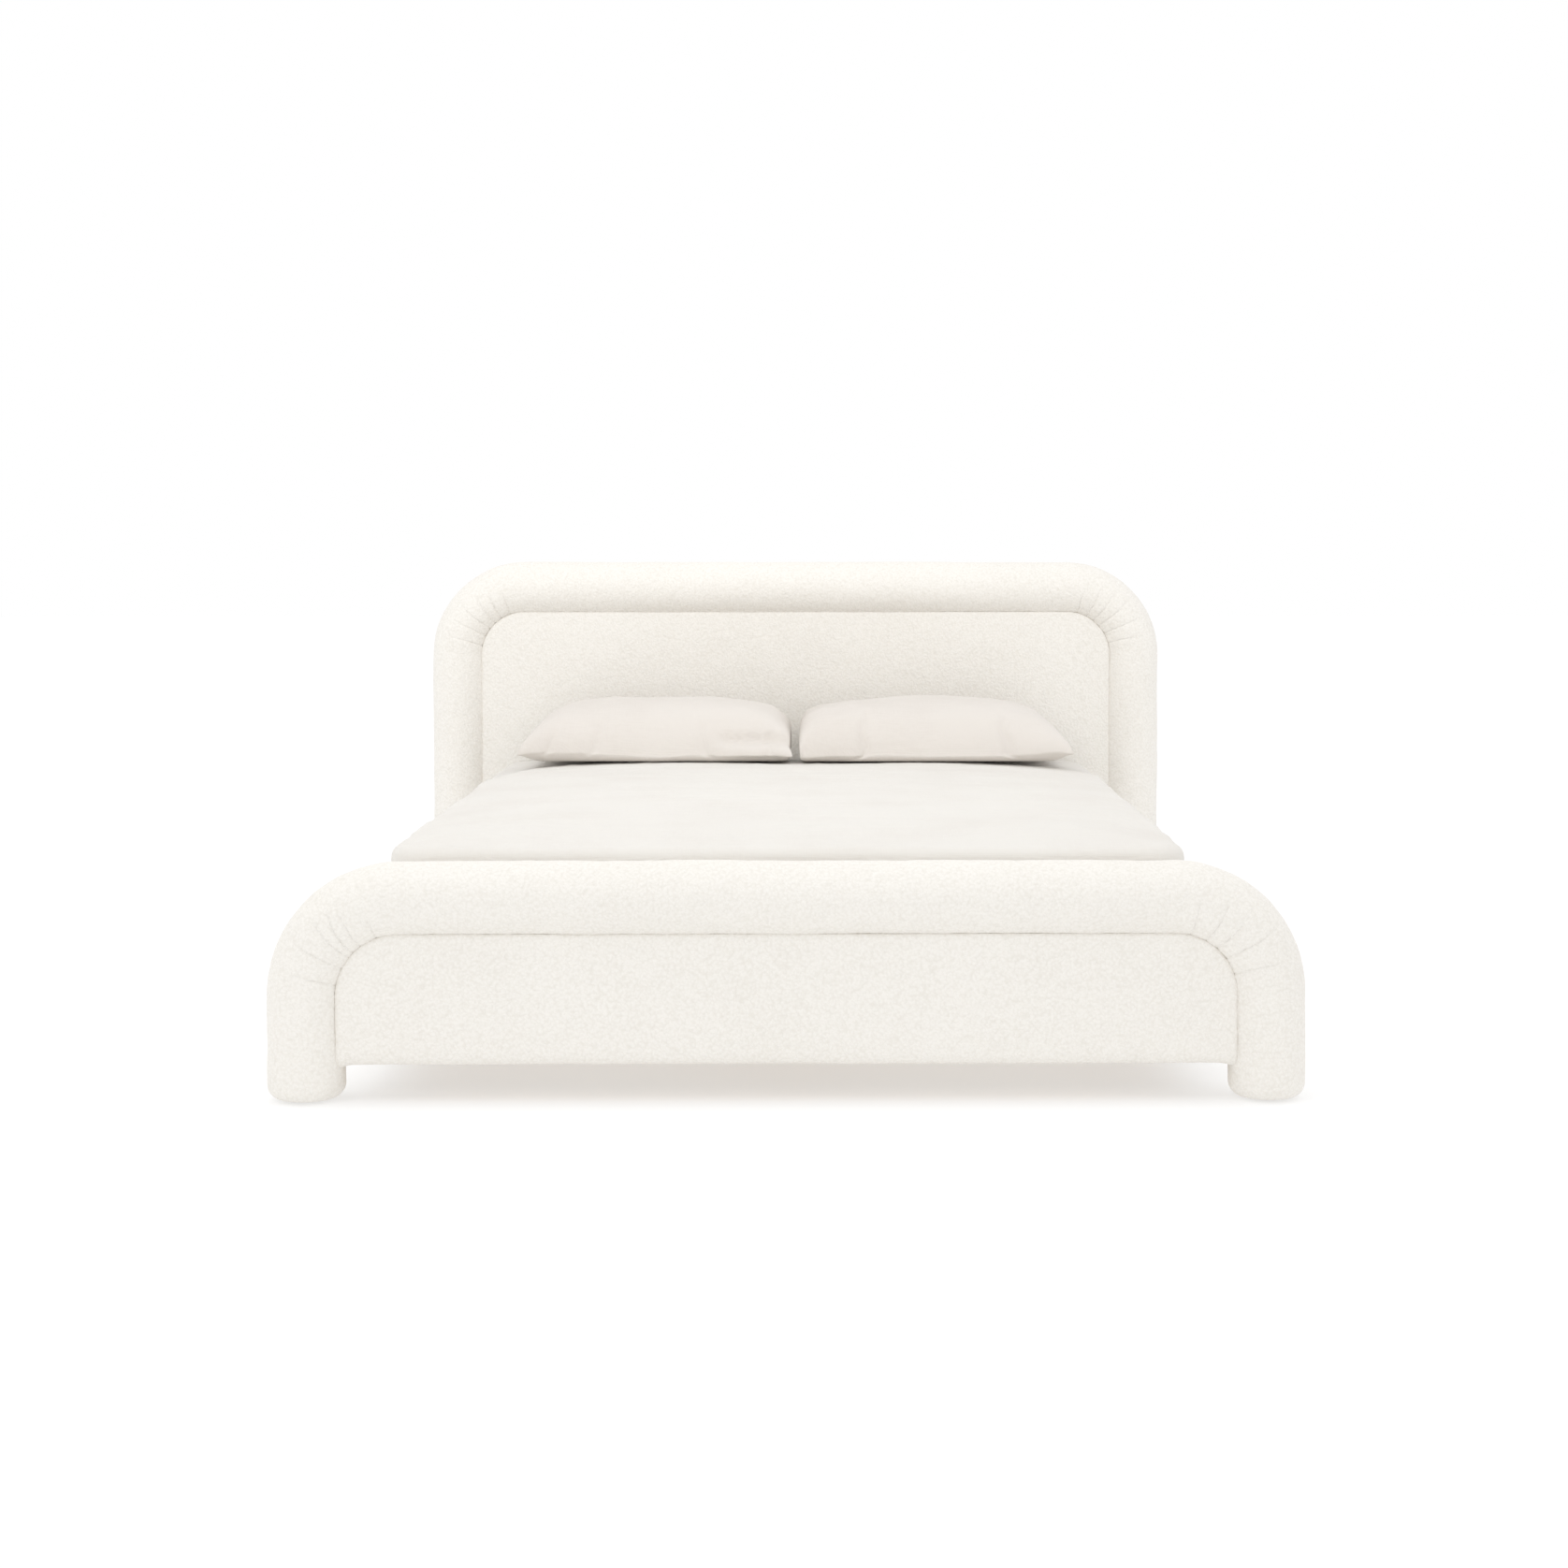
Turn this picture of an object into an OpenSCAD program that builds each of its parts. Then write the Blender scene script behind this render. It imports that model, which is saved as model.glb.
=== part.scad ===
// Upholstered platform bed. The headboard and the footboard are the same arch: a padded roll bent round
// an inset pad, over a timber frame. Side rails, a slat deck, a mattress and its bedding complete it.
// Frame: X across the bed, +Y towards the headboard, +Z up, origin on the floor under the middle.

/* [Mattress] */
// Width of the mattress, side to side
mattress_w = 1524; // [1370:1:1540]
// Length of the mattress, head to foot
mattress_l = 2032; // [1900:1:2130]
// Thickness of the mattress at its side
mattress_t = 205; // [180:1:220]
// Corner radius of the mattress, seen from above
mattress_r = 70; // [40:5:100]

/* [Boards] */
// Width over both boards, which is the width of the bed
bed_w = 1950; // [1930:1:2100]
// Height of the headboard
head_h = 990; // [800:5:1300]
// Height of the footboard
foot_h = 450; // [430:5:480]
// Diameter of the padded roll
roll_d = 146; // [135:1:150]
// Outer radius of the boards' upper corners
corner_r = 250; // [230:5:260]
// Height of the pads' lower edge above the floor
board_clear = 70; // [60:1:80]

/* [Rails and deck] */
// Height of a side rail's timber
rail_h = 148; // [140:1:150]
// Thickness of a side rail's timber
rail_t = 25; // [20:1:28]
// Number of slats
slat_count = 12; // [12:1:12]
// Width of one slat
slat_w = 90; // [60:1:110]
// Thickness of one slat
slat_t = 18; // [15:1:20]

/* [Bedding] */
// Width of one pillow
pillow_w = 700; // [600:5:730]
// Depth of one pillow
pillow_l = 464; // [400:2:470]
// Thickness of one pillow
pillow_t = 165; // [120:5:180]
// Distance of the coverlet's upper edge from the mattress's middle
coverlet_top_y = 620; // [300:10:900]

/* [Hidden] */
$fn = 64;

// Boards
end_gap = 14;                                 // mattress end to the roll
board_y = mattress_l / 2 + end_gap + roll_d / 2;
leg_x = bed_w / 2 - roll_d / 2;               // axis of the roll's upright part
arc_r = corner_r - roll_d / 2;                // radius of the roll's axis in the corners
roll_z0 = 4;                                  // underside of the roll, on the glides
roll_edge = 26;                               // rounding of the legs' lower edge
core_s = 60;                                  // side of the square timber in the roll
core_z0 = 10;
panel_t = 24;                                 // plywood panel
pad_y = 43;                                   // face of the front pad, from the roll's axis
pad_edge = 22;                                // rounding of the pad's lower edge
batten_t = 20;
batten_w = 80;
batten_x = 440;
cover_t = 6;                                  // back cover
face_y = board_y - panel_t / 2;               // panel face that the rails meet

// Rails and deck
side_gap = 7;                                 // mattress side to the rail's folded cover
fold_t = 3;                                   // cover folded over the rail's inner face
pad_t = 14;                                   // padding outside and on top of the rail
rail_in = mattress_w / 2 + side_gap + fold_t;
rail_out = rail_in + rail_t;
rail_z0 = 90;
rail_z1 = rail_z0 + rail_h;
under_t = 4;                                  // cover under the rail
fold_top = 10;
fold_low = 25;
ledger_s = 32;
deck_z = 225;                                 // top of the slats
slat_z0 = deck_z - slat_t;
slat_x = rail_in - 4;
slat_pitch = (mattress_l - slat_w) / (slat_count - 1);
beam_w = 60;
beam_h = 40;
beam_z0 = slat_z0 - beam_h;
plate_t = 3;
leg_y = 500;
leg_plate = 66;
leg_tube_r = 16;
leg_tube_t = 2;
leg_z0 = 20;
plug_h = 20;
stud_r = 4;
running = 0.05;                               // radial clearance of a stud in its thread

// Brackets and bolts
bracket_t = 4;
bracket_arm = 60;
bracket_z0 = 120;
bracket_h = 104;
bolt_in = 35;                                 // hole centre from the bracket's corner
bolt_zs = [146, 198];
bolt_r = 4;
bolt_head_r = 7;
bolt_head_h = 4.5;
hole_r = 4.5;
nut_r = 5.5;
nut_flange_r = 10;
nut_flange_t = 1.6;
nut_h = 12;

// Bedding
rest_gap = 0.3;                               // between parts that lift apart
sheet_t = 1.5;
coverlet_t = 2.5;
sheet_under = 100;                            // sheet folded under the mattress
coverlet_z0 = 262;                            // lower edge of the coverlet's sides
mattress_z0 = deck_z + rest_gap + sheet_t;
mattress_z1 = mattress_z0 + mattress_t;
pillow_x = pillow_w / 2 + 4;
pillow_y = 785;
pillow_z0 = 490.5;
// Levels of a pillow, as shares of its thickness, width and depth
pillow_levels = [[0, 0.76, 0.68], [0.10, 0.98, 0.96], [0.22, 1, 1], [0.66, 0.86, 0.82],
    [0.90, 0.62, 0.54], [1, 0.36, 0.26]];
case_t = 1.5;
mouth_in = 10.3;                             // pillowcase's mouth, in from the pillow's end
// Crown of the mattress: [height above its side, distance in from its outline]
crown = [[0, 0], [16, 5], [27, 22], [42, 120], [55, 430]];

// ---------- shapes ----------

// Placed across Y, from y0 to y1; children are drawn in X and Z.
module slab_y(y0, y1) {
    translate([0, y1, 0]) rotate([90, 0, 0]) linear_extrude(y1 - y0) children();
}

// Rectangle with two round upper corners.
module arch_2d(half_w, z0, z1, r) {
    translate([-half_w, z0]) square([2 * half_w, z1 - r - z0]);
    translate([-(half_w - r), z0]) square([2 * (half_w - r), z1 - z0]);
    for (s = [-1, 1]) translate([s * (half_w - r), z1 - r]) intersection() {
        circle(r);
        translate([-r, 0]) square([2 * r, r]);
    }
}

module both_sides() {
    children();
    mirror([1, 0, 0]) children();
}

// Box from corner a to corner b.
module block(a, b) {
    translate(a) cube(b - a);
}

// Upright round leg with a rounded lower edge.
module round_leg(h) {
    r = roll_d / 2;
    cylinder(r = r - roll_edge, h = roll_edge);
    translate([0, 0, roll_edge]) rotate_extrude() {
        translate([0, -roll_edge]) square([r - roll_edge, roll_edge]);
        intersection() {
            translate([r - roll_edge, 0]) circle(roll_edge);
            translate([0, -roll_edge]) square([r, roll_edge]);
        }
    }
    translate([0, 0, roll_edge]) cylinder(r = r, h = h - roll_edge);
}

// The whole roll of a board of height h, as one solid body.
module roll_body(h) {
    arc_x = bed_w / 2 - corner_r;
    both_sides() {
        translate([leg_x, 0, roll_z0]) round_leg(h - corner_r - roll_z0);
        translate([arc_x, 0, h - corner_r]) rotate([90, 0, 0])
            rotate_extrude(angle = 90) translate([arc_r, 0]) circle(d = roll_d);
    }
    translate([-arc_x, 0, h - roll_d / 2]) rotate([0, 90, 0]) cylinder(d = roll_d, h = 2 * arc_x);
}

module core_post(h) {
    s = core_s / 2;
    block([leg_x - s, -s, core_z0], [leg_x + s, s, h - corner_r]);
}

module core_corner(h) {
    translate([bed_w / 2 - corner_r, 0, h - corner_r]) rotate([90, 0, 0])
        rotate_extrude(angle = 90) translate([arc_r - core_s / 2, -core_s / 2]) square(core_s);
}

module core_top(h) {
    s = core_s / 2;
    x = bed_w / 2 - corner_r;
    block([-x, -s, h - roll_d / 2 - s], [x, s, h - roll_d / 2 + s]);
}

module panel_blank(h) {
    slab_y(-panel_t / 2, panel_t / 2)
        arch_2d(leg_x - core_s / 2, board_clear + 6, h - roll_d / 2 - core_s / 2, arc_r - core_s / 2);
}

// Soft sheet between two Y values, trimmed to the roll.
module pad_blank(h, y0, y1) {
    difference() {
        slab_y(y0, y1) arch_2d(leg_x, board_clear, h - roll_d / 2, arc_r);
        roll_body(h);
    }
}

// ---------- parts of a board, in the board's own frame ----------

module board_roll(h) {
    difference() {
        roll_body(h);
        both_sides() {
            core_post(h);
            core_corner(h);
            translate([leg_x, 0, 0]) cylinder(r = 2.3, h = core_z0 + 1);
        }
        core_top(h);
        panel_blank(h);
    }
}

module board_posts(h) {
    both_sides() difference() {
        core_post(h);
        translate([leg_x, 0, 0]) cylinder(r = 2.1, h = 30);
    }
}

module board_pad(h) {
    difference() {
        pad_blank(h, -pad_y, -panel_t / 2);
        difference() {
            block([-bed_w / 2, -pad_y - 1, board_clear - 1],
                  [bed_w / 2, -pad_y + pad_edge, board_clear + pad_edge]);
            translate([-bed_w / 2, -pad_y + pad_edge, board_clear + pad_edge])
                rotate([0, 90, 0]) cylinder(r = pad_edge, h = bed_w);
        }
    }
}

module board_battens(h) {
    y0 = panel_t / 2;
    y1 = y0 + batten_t;
    low = board_clear + 6;
    high = h - roll_d - 4;
    rail_w = 40;
    block([-690, y0, low], [690, y1, low + rail_w]);
    block([-690, y0, high - rail_w], [690, y1, high]);
    both_sides() block([batten_x - batten_w / 2, y0, low + rail_w],
                       [batten_x + batten_w / 2, y1, high - rail_w]);
}

module board_back_cover(h) {
    y0 = panel_t / 2 + batten_t;
    pad_blank(h, y0, y0 + cover_t);
}

module at_head() {
    translate([0, board_y, 0]) children();
}

module at_foot() {
    translate([0, -board_y, 0]) children();
}

// ---------- joints between boards and rails ----------

// Local +Z points from the panel's face towards the mattress.
module at_board_bolts() {
    for (s = [-1, 1], z = bolt_zs) {
        translate([s * (rail_in - bolt_in), -face_y, z]) rotate([-90, 0, 0]) children();
        translate([s * (rail_in - bolt_in), face_y, z]) rotate([90, 0, 0]) children();
    }
}

// Local +Z points from the rail's inner face towards the bed's middle.
module at_rail_bolts() {
    for (t = [-1, 1], z = bolt_zs) {
        translate([-rail_in, t * (face_y - bolt_in), z]) rotate([0, 90, 0]) children();
        translate([rail_in, t * (face_y - bolt_in), z]) rotate([0, -90, 0]) children();
    }
}

module bolt(thick) {
    translate([0, 0, -(thick - 3)]) cylinder(r = bolt_r, h = thick - 3 + bracket_t);
    translate([0, 0, bracket_t]) difference() {
        cylinder(r = bolt_head_r, h = bolt_head_h);
        translate([0, 0, bolt_head_h - 2.5]) cylinder(r = 2.9, h = 3, $fn = 6);
    }
}

module tee_nut(thick) {
    translate([0, 0, -thick]) difference() {
        union() {
            cylinder(r = nut_flange_r, h = nut_flange_t);
            cylinder(r = nut_r, h = nut_h);
        }
        translate([0, 0, -1]) cylinder(r = bolt_r + running, h = nut_h + 2);
    }
}

// Hole in a board or rail of this thickness, for the bolt and its tee nut.
module bolt_hole(thick) {
    translate([0, 0, -thick - 1]) cylinder(r = bolt_r + 0.3, h = thick + 2);
    translate([0, 0, -thick - 1]) cylinder(r = nut_r, h = nut_h + 1);
    translate([0, 0, -thick - 1]) cylinder(r = nut_flange_r, h = nut_flange_t + 1);
}

// Bracket of the corner at +X and +Y.
module bracket_blank() {
    difference() {
        union() {
            block([rail_in - bracket_arm, face_y - bracket_t, bracket_z0],
                  [rail_in, face_y, bracket_z0 + bracket_h]);
            block([rail_in - bracket_t, face_y - bracket_arm, bracket_z0],
                  [rail_in, face_y, bracket_z0 + bracket_h]);
        }
        for (z = bolt_zs) {
            translate([rail_in - bolt_in, face_y + 1, z]) rotate([90, 0, 0])
                cylinder(r = hole_r, h = bracket_t + 2);
            translate([rail_in + 1, face_y - bolt_in, z]) rotate([0, -90, 0])
                cylinder(r = hole_r, h = bracket_t + 2);
        }
    }
}

module bracket(sx, sy) {
    color("dimgray")
        mirror([sx < 0 ? 1 : 0, 0, 0]) mirror([0, sy < 0 ? 1 : 0, 0]) bracket_blank();
}

// Room for the rail ends and the beam end in the padding of a board; sy is the board's side.
module joint_pockets(sy) {
    y0 = face_y - 40;
    mirror([0, sy < 0 ? 1 : 0, 0]) {
        both_sides() block([rail_in - bracket_arm - 3, y0, rail_z0 - under_t - 1],
                           [rail_out + pad_t + 1, face_y, rail_z1 + pad_t + 1]);
        block([-60, y0, beam_z0 - 20], [60, face_y, slat_z0 + 6]);
    }
}

// ---------- rails and deck ----------

module rail_timber() {
    block([rail_in, -face_y, rail_z0], [rail_out, face_y, rail_z1]);
}

module side_rail(s) {
    color("burlywood") difference() {
        mirror([s < 0 ? 1 : 0, 0, 0]) rail_timber();
        at_rail_bolts() bolt_hole(rail_t);
    }
}

module rail_cover(s) {
    color("ivory") mirror([s < 0 ? 1 : 0, 0, 0]) difference() {
        slab_y(-face_y, face_y) {
            translate([rail_in - fold_t, rail_z0 - under_t])
                square([fold_t + rail_t, rail_h + under_t + pad_t]);
            translate([rail_out - 1, rail_z0 - under_t]) square([pad_t + 1, rail_h + under_t]);
            translate([rail_out, rail_z1]) circle(pad_t);
        }
        rail_timber();
        block([rail_in - fold_t - 1, -face_y - 1, rail_z0 + fold_low],
              [rail_in, face_y + 1, rail_z1 - fold_top]);
    }
}

module ledger(s) {
    color("burlywood") difference() {
        mirror([s < 0 ? 1 : 0, 0, 0])
            block([rail_in - ledger_s, -mattress_l / 2, slat_z0 - ledger_s],
                  [rail_in, mattress_l / 2, slat_z0]);
        at_slat_screws() translate([0, 0, -22]) cylinder(r = 1.9, h = 30);
    }
}

function slat_y(i) = -mattress_l / 2 + slat_w / 2 + (i - 1) * slat_pitch;

// Top of each slat screw's seat.
module at_slat_screws() {
    for (i = [1:slat_count], s = [-1, 1])
        translate([s * (rail_in - ledger_s / 2), slat_y(i), slat_z0]) children();
}

module slat(i) {
    color("wheat") difference() {
        translate([-slat_x, slat_y(i) - slat_w / 2, slat_z0]) cube([2 * slat_x, slat_w, slat_t]);
        for (s = [-1, 1]) translate([s * (rail_in - ledger_s / 2), slat_y(i), slat_z0 - 1]) {
            cylinder(r = 2.1, h = slat_t + 2);
            translate([0, 0, slat_t - 2]) cylinder(r = 4, h = 4);
        }
    }
}

module slat_screws() {
    color("silver") at_slat_screws() {
        translate([0, 0, -18]) cylinder(r = 1.8, h = slat_t + 16, $fn = 24);
        translate([0, 0, slat_t - 3]) cylinder(r = 3.6, h = 2.4, $fn = 24);
    }
}

// The four screws under each leg's plate.
module at_leg_screws() {
    for (t = [-1, 1], sx = [-1, 1], sy = [-1, 1])
        translate([sx * 24, t * leg_y + sy * 26, beam_z0]) children();
}

// Local +Z points from the panel's face towards the mattress.
module at_hanger_screws() {
    for (sx = [-1, 1], z = [beam_z0 + 2, beam_z0 + 32]) {
        translate([sx * 45, -face_y, z]) rotate([-90, 0, 0]) children();
        translate([sx * 45, face_y, z]) rotate([90, 0, 0]) children();
    }
}

module wood_screw(head_at) {
    translate([0, 0, -20]) cylinder(r = 2.2, h = 20 + head_at, $fn = 24);
    translate([0, 0, head_at]) cylinder(r = 4.5, h = 2.4, $fn = 24);
}

module centre_beam() {
    end_y = face_y - plate_t - 1;
    color("burlywood") difference() {
        block([-beam_w / 2, -end_y, beam_z0], [beam_w / 2, end_y, slat_z0]);
        at_leg_screws() cylinder(r = 2.3, h = 22);
    }
}

// Steel seat for the beam's end at +Y.
module beam_hanger() {
    seat = 40;
    inner = beam_w / 2 + 0.5;
    y1 = face_y - plate_t;
    difference() {
        union() {
            block([-56, y1, beam_z0 - 12], [56, face_y, slat_z0]);
            block([-inner - plate_t, y1 - seat, beam_z0 - plate_t], [inner + plate_t, y1, beam_z0]);
            both_sides() block([inner, y1 - seat, beam_z0 - plate_t], [inner + plate_t, y1, beam_z0 + 26]);
        }
        at_hanger_screws() translate([0, 0, -1]) cylinder(r = 2.6, h = plate_t + 2);
    }
}

module centre_leg(t) {
    color("dimgray") translate([0, t * leg_y, 0]) difference() {
        union() {
            block([-beam_w / 2, -leg_plate / 2, beam_z0 - plate_t], [beam_w / 2, leg_plate / 2, beam_z0]);
            translate([0, 0, leg_z0]) cylinder(r = leg_tube_r, h = beam_z0 - plate_t - leg_z0);
        }
        translate([0, 0, leg_z0 + plug_h])
            cylinder(r = leg_tube_r - leg_tube_t, h = beam_z0 - plate_t - leg_z0 - plug_h);
        translate([0, 0, leg_z0 - 1]) cylinder(r = stud_r + running, h = plug_h + 2);
        for (sx = [-1, 1], sy = [-1, 1])
            translate([sx * 24, sy * 26, beam_z0 - plate_t - 1]) cylinder(r = 2.6, h = plate_t + 2);
    }
}

module leveller(t) {
    color("black") translate([0, t * leg_y, 0]) {
        rotate_extrude() polygon([[0, 0], [17, 0], [18, 1], [18, 5], [14, 8], [0, 8]]);
        cylinder(r = stud_r, h = 48);
    }
}

module floor_glides() {
    color("dimgray") for (s = [-1, 1], t = [-1, 1]) translate([s * leg_x, t * board_y, 0]) {
        rotate_extrude() polygon([[0, 0], [24, 0], [25, 1], [25, roll_z0], [0, roll_z0]]);
        cylinder(r = 1.9, h = 26);
    }
}

// ---------- mattress and bedding ----------

module outline(inset) {
    r = max(mattress_r - inset, 12);
    x = mattress_w / 2 - inset - r;
    y = mattress_l / 2 - inset - r;
    for (sx = [-1, 1], sy = [-1, 1]) translate([sx * x, sy * y]) circle(r, $fn = 32);
    square([2 * x, 2 * (y + r)], center = true);
    square([2 * (x + r), 2 * y], center = true);
}

// Mattress shape, g larger all round, from z0 up.
module mattress_form(g, z0) {
    hull() {
        translate([0, 0, z0]) linear_extrude(1) outline(-g);
        for (c = crown) translate([0, 0, mattress_z1 + c[0] + g - 1]) linear_extrude(1) outline(c[1] - g);
    }
}

module fitted_sheet() {
    color("white") difference() {
        mattress_form(sheet_t, mattress_z0 - sheet_t);
        mattress_form(0, mattress_z0);
        translate([0, 0, mattress_z0 - 10]) cube(
            [mattress_w - 2 * sheet_under, mattress_l - 2 * sheet_under, 30], center = true);
    }
}

module coverlet() {
    far = mattress_l;
    color("snow") intersection() {
        difference() {
            mattress_form(sheet_t + coverlet_t, mattress_z0);
            mattress_form(sheet_t, mattress_z0 - 1);
        }
        block([-far, -far, coverlet_z0], [far, coverlet_top_y, 2 * mattress_z1]);
    }
}

// Plump pillow with a low seam all round; g makes it larger all round.
module pillow_form(g) {
    hull() for (p = pillow_levels) {
        end = p[0] == 0 ? -1 : p[0] == 1 ? 1 : 0;
        translate([0, 0, p[0] * pillow_t + end * (g - 0.5)])
            cube([p[1] * pillow_w + 2 * g, p[2] * pillow_l + 2 * g, 1], center = true);
    }
}

module at_pillow(s) {
    translate([s * pillow_x, pillow_y, pillow_z0]) children();
}

// What lies past depth d from the pillow's end at the bed's middle, where the case's mouth is.
module past_mouth(s, d) {
    translate([-s * (pillow_w / 2 - d + 50), 0, 0]) cube([100, 2 * pillow_l, 4 * pillow_t], center = true);
}

module pillow_case(s) {
    color("linen") at_pillow(s) difference() {
        pillow_form(0);
        pillow_form(-case_t);
        past_mouth(s, mouth_in);
    }
}

module pillow_insert(s) {
    color("white") at_pillow(s) difference() {
        pillow_form(-case_t - 0.2);
        past_mouth(s, mouth_in + 5);
    }
}

// ---------- headboard and footboard nodes ----------

module headboard_pad() {
    color("ivory") difference() {
        at_head() board_pad(head_h);
        joint_pockets(1);
    }
}

module board_panel(h, y) {
    color("tan") difference() {
        translate([0, y, 0]) panel_blank(h);
        at_board_bolts() bolt_hole(panel_t);
        at_hanger_screws() translate([0, 0, -21]) cylinder(r = 2.3, h = 22);
    }
}

module footboard_back_cover() {
    color("ivory") difference() {
        at_foot() board_back_cover(foot_h);
        joint_pockets(-1);
    }
}

// ---------- nodes ----------

color("ivory") at_head() board_roll(head_h);  // headboard_roll
headboard_pad();
board_panel(head_h, board_y);  // headboard_panel
color("burlywood") at_head() board_posts(head_h);  // headboard_posts
color("burlywood") at_head() core_top(head_h);  // headboard_top_rail
color("burlywood") at_head() both_sides() core_corner(head_h);  // headboard_corner_blocks
color("burlywood") at_head() board_battens(head_h);  // headboard_battens
color("ivory") at_head() board_back_cover(head_h);  // headboard_back_cover
color("ivory") at_foot() board_roll(foot_h);  // footboard_roll
color("ivory") at_foot() board_pad(foot_h);  // footboard_pad
board_panel(foot_h, -board_y);  // footboard_panel
color("burlywood") at_foot() board_posts(foot_h);  // footboard_posts
color("burlywood") at_foot() core_top(foot_h);  // footboard_top_rail
color("burlywood") at_foot() both_sides() core_corner(foot_h);  // footboard_corner_blocks
color("burlywood") at_foot() board_battens(foot_h);  // footboard_battens
footboard_back_cover();
side_rail(-1);  // side_rail_left
side_rail(1);  // side_rail_right
rail_cover(-1);  // rail_cover_left
rail_cover(1);  // rail_cover_right
ledger(-1);  // ledger_left
ledger(1);  // ledger_right
bracket(-1, -1);  // bracket_foot_left
bracket(1, -1);  // bracket_foot_right
bracket(-1, 1);  // bracket_head_left
bracket(1, 1);  // bracket_head_right
color("silver") at_board_bolts() bolt(panel_t);  // board_bolts
color("silver") at_board_bolts() tee_nut(panel_t);  // board_tee_nuts
color("silver") at_rail_bolts() bolt(rail_t);  // rail_bolts
color("silver") at_rail_bolts() tee_nut(rail_t);  // rail_tee_nuts
centre_beam();
color("dimgray") for (t = [0, 1]) mirror([0, t, 0]) beam_hanger();  // beam_hangers
color("silver") at_hanger_screws() wood_screw(plate_t);  // hanger_screws
centre_leg(-1);  // centre_leg_foot
centre_leg(1);  // centre_leg_head
color("silver") at_leg_screws() mirror([0, 0, 1]) wood_screw(plate_t);  // leg_screws
leveller(-1);  // leveller_foot
leveller(1);  // leveller_head
slat(1);  // slat_01
slat(2);  // slat_02
slat(3);  // slat_03
slat(4);  // slat_04
slat(5);  // slat_05
slat(6);  // slat_06
slat(7);  // slat_07
slat(8);  // slat_08
slat(9);  // slat_09
slat(10);  // slat_10
slat(11);  // slat_11
slat(12);  // slat_12
slat_screws();
floor_glides();
color("whitesmoke") mattress_form(0, mattress_z0);  // mattress
fitted_sheet();
coverlet();
pillow_case(-1);  // pillow_left_case
pillow_insert(-1);  // pillow_left_insert
pillow_case(1);  // pillow_right_case
pillow_insert(1);  // pillow_right_insert
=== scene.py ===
"""Upholstered bed with matching arched boards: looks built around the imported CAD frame. Metres, row frame."""
import math

import bmesh
import bpy
import numpy as np
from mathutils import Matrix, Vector


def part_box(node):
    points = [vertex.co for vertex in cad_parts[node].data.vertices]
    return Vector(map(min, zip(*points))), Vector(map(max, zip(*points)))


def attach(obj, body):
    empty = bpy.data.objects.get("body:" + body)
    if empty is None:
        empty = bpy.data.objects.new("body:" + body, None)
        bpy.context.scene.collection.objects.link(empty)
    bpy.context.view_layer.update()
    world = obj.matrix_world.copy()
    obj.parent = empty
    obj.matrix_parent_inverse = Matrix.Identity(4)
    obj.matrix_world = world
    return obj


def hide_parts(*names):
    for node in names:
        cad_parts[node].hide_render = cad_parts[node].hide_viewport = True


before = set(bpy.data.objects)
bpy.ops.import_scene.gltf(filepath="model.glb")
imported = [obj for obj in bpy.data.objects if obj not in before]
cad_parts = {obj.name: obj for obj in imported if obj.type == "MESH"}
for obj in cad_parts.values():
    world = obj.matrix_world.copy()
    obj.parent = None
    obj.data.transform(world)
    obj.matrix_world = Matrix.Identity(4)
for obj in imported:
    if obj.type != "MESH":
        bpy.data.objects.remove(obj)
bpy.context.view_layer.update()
MM = 0.001

# Sizes that the CAD nodes give
HEAD_LO, HEAD_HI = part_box("headboard_roll")
FOOT_LO, FOOT_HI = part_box("footboard_roll")
ROLL_R = (HEAD_HI.y - HEAD_LO.y) / 2
LEG_X = HEAD_HI.x - ROLL_R
HEAD_Y = (HEAD_HI.y + HEAD_LO.y) / 2
FOOT_Y = (FOOT_HI.y + FOOT_LO.y) / 2
HEAD_H = HEAD_HI.z
FOOT_H = FOOT_HI.z
CORNER_R = 0.250
ARC_R = CORNER_R - ROLL_R
PAD_BOTTOM = 0.070
MAT_LO, MAT_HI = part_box("mattress")
SHEET_LO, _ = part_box("fitted_sheet")
COVER_LO, COVER_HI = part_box("coverlet")


# ---------- helpers ----------

def lattice(ix, iy, iz, seed):
    h = (ix * 374761393 + iy * 668265263 + iz * 1442695041 + seed * 974711) & 0xFFFFFFFF
    h = ((h ^ (h >> 13)) * 1274126177) & 0xFFFFFFFF
    return ((h ^ (h >> 16)) & 0xFFFF) / 32767.5 - 1.0


def noise(p, size, seed=0, octaves=1):
    """Smooth value noise in -1..1 at points p (n, 3). size is the feature size in metres, one or three
    numbers."""
    out, amp, total = 0.0, 1.0, 0.0
    size = np.asarray(size, float)
    for k in range(octaves):
        q = p / size * 2 ** k + 37.7 * k
        i = np.floor(q).astype(np.int64)
        f = q - i
        f = f * f * f * (f * (f * 6 - 15) + 10)
        v = 0.0
        for dx in (0, 1):
            wx = f[:, 0] if dx else 1 - f[:, 0]
            for dy in (0, 1):
                wy = f[:, 1] if dy else 1 - f[:, 1]
                for dz in (0, 1):
                    wz = f[:, 2] if dz else 1 - f[:, 2]
                    v = v + wx * wy * wz * lattice(i[:, 0] + dx, i[:, 1] + dy, i[:, 2] + dz, seed + k)
        out = out + amp * v
        total += amp
        amp *= 0.5
    return out / total


def smooth(a, b, x):
    t = np.clip((x - a) / (b - a), 0, 1)
    return t * t * (3 - 2 * t)


def add_mesh(name, verts, faces, material):
    me = bpy.data.meshes.new(name)
    me.from_pydata([tuple(v) for v in verts], [], [tuple(int(i) for i in f) for f in faces])
    me.update()
    me.shade_smooth()
    ob = bpy.data.objects.new(name, me)
    bpy.context.scene.collection.objects.link(ob)
    me.materials.append(material)
    return ob


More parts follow.
